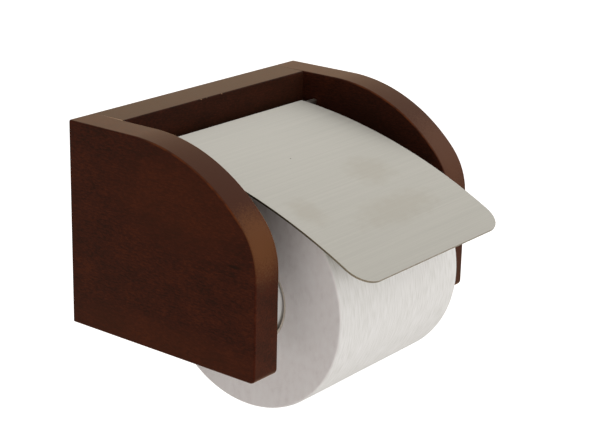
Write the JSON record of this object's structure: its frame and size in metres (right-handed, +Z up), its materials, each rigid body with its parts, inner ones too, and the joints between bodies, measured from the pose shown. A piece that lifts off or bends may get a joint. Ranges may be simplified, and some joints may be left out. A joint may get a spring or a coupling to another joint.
{
  "type": "toilet roll holder",
  "caption": "Wall-mounted toilet roll holder with a dark wooden back board and swept cheeks, a curved lifting metal flap, a sprung telescopic roller and a paper roll.",
  "frame": {"origin": "midway between the two wall screw holes, on the wall plane at the back of the back board", "axes": "+Y points into the wall, +Z is up, +X is to the right as seen from the front"},
  "size_m": [0.17, 0.1549, 0.1367],
  "materials": {
    "stained_wood": "dark walnut stain under a satin varnish",
    "beech": "bare turned beech",
    "brushed_sheet": "brushed across the flap",
    "steel_rod": "drawn bright",
    "white_plastic": "moulded, satin gloss",
    "spring_wire": "drawn spring wire",
    "core_board": "grey-brown wound board",
    "tissue": "soft embossed tissue"
  },
  "bodies": {
    "housing": {"back_board": "stained_wood", "left_cheek": "stained_wood", "right_cheek": "stained_wood", "dowels": "beech"},
    "flap": {"flap": "brushed_sheet", "hinge_rod": "steel_rod"},
    "roller": {"roller_sleeve": "white_plastic", "roller_spring": "spring_wire"},
    "plunger": {"roller_plunger": "white_plastic"},
    "roll": {"paper_core": "core_board", "paper_roll": "tissue"}
  },
  "joints": [
    {"name": "flap_hinge", "type": "hinge", "parent": "housing", "child": "flap", "pos_m": [0, -0.0275, 0.0293], "axis": [-1, 0, 0], "range_deg": [0, 113]},
    {"name": "roller_spin", "type": "hinge", "parent": "housing", "child": "roller", "pos_m": [0, -0.0777, -0.0352], "axis": [1, 0, 0], "continuous": true},
    {"name": "plunger_slide", "type": "slide", "parent": "roller", "child": "plunger", "axis": [1, 0, 0], "range_m": [-0.012, 0], "stiffness_N_per_m": 400, "springref_m": 0.012, "deforming": ["roller_spring"]},
    {"name": "roll_spin", "type": "hinge", "parent": "housing", "child": "roll", "pos_m": [0, -0.0777, -0.03615], "axis": [1, 0, 0], "continuous": true}
  ]
}
